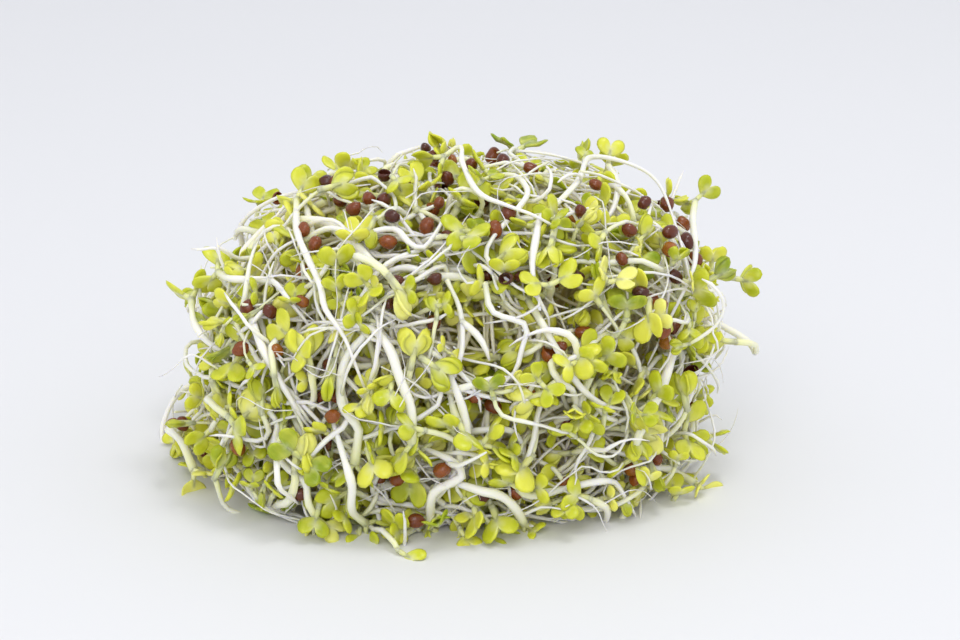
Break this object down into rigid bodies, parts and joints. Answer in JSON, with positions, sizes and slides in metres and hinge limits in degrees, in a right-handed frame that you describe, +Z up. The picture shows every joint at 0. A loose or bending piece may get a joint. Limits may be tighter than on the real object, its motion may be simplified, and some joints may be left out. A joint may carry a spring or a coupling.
{
  "type": "heap of brassica sprouts (spigarello microgreens)",
  "caption": "Loose tangled heap of cut spigarello sprouts: pale curling stems with roots, two-lobed yellow-green seed leaves and brown seed hulls.",
  "frame": {"origin": "on the table under the middle of the heap's box", "axes": "+Z up, -Y towards the viewer, +X to the right along the heap's long side"},
  "size_m": [0.072, 0.0588, 0.0442],
  "materials": {
    "sprout": "fresh plant tissue: translucent white stem, soft sheen on yellow-green seed leaves",
    "seed_hull": "glossy red-brown seed coat with a fine net pattern"
  },
  "bodies": {
    "root": {"sprout_inside_01": "sprout", "sprout_inside_02": "sprout", "sprout_inside_03": "sprout", "sprout_inside_04": "sprout", "sprout_inside_05": "sprout", "sprout_s_stem": "sprout", "sprout_curved_pale": "sprout", "sprout_forked": "sprout", "sprout_floor_stem": "sprout", "sprout_drip": "sprout", "sprout_floor_pair": "sprout", "sprout_low_pale": "sprout", "sprout_long_level": "sprout", "sprout_straight_pale": "sprout", "sprout_right_arch": "sprout", "sprout_crook": "sprout", "sprout_zigzag_root": "sprout", "sprout_top_root": "sprout", "sprout_level_root": "sprout", "sprout_thick_pale": "sprout", "sprout_level_pale": "sprout", "sprout_left_arc": "sprout", "sprout_shoulder": "sprout", "sprout_left_level": "sprout", "sprout_left_loop": "sprout", "sprout_left_slant": "sprout", "sprout_left_bend": "sprout", "sprout_hooked": "sprout", "sprout_low_arch": "sprout", "sprout_thin_crook": "sprout", "sprout_hairy_root": "sprout", "sprout_top_right": "sprout", "sprout_far_right": "sprout", "sprout_top_left": "sprout", "sprout_left_tip": "sprout", "sprout_left_leaf": "sprout", "sprout_left_foot": "sprout", "sprout_right_foot": "sprout", "sprout_around_01": "sprout", "sprout_around_02": "sprout", "sprout_around_03": "sprout", "sprout_around_04": "sprout", "sprout_around_05": "sprout", "sprout_around_06": "sprout", "sprout_around_07": "sprout", "sprout_around_08": "sprout", "sprout_around_09": "sprout", "sprout_around_10": "sprout", "sprout_around_11": "sprout", "seed_hull_01": "seed_hull", "seed_hull_02": "seed_hull", "seed_hull_03": "seed_hull", "seed_hull_04": "seed_hull", "seed_hull_05": "seed_hull", "seed_hull_06": "seed_hull", "seed_hull_07": "seed_hull", "seed_hull_08": "seed_hull", "seed_hull_09": "seed_hull", "seed_hull_10": "seed_hull", "seed_hull_11": "seed_hull"}
  },
  "joints": []
}
